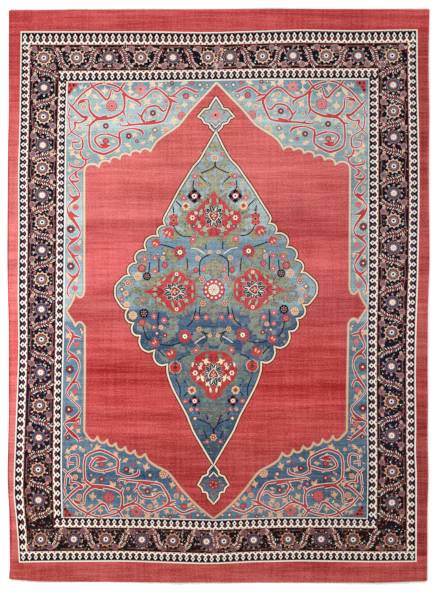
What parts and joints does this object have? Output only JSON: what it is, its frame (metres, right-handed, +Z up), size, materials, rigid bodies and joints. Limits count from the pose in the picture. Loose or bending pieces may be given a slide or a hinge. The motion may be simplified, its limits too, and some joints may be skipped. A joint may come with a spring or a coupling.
{
  "type": "persian rug",
  "caption": "Room-size hand-knotted carpet with a central medallion, lying flat, with overcast side cords and short fringed ends.",
  "frame": {"origin": "on the floor, under the middle of the whole carpet with its fringes", "axes": "+X to the right of the pattern, +Y to the head of the pattern, +Z up out of the pile"},
  "size_m": [2.7002, 3.6978, 0.0095],
  "materials": {
    "madder_pile": "patterned wool pile",
    "madder_overcast": "overcast wool yarn",
    "undyed_cotton": "undyed cotton warps"
  },
  "bodies": {
    "root": {"knotted_body": "madder_pile", "side_cord_left": "madder_overcast", "side_cord_right": "madder_overcast", "fringe_head": "undyed_cotton", "fringe_foot": "undyed_cotton"}
  },
  "joints": []
}
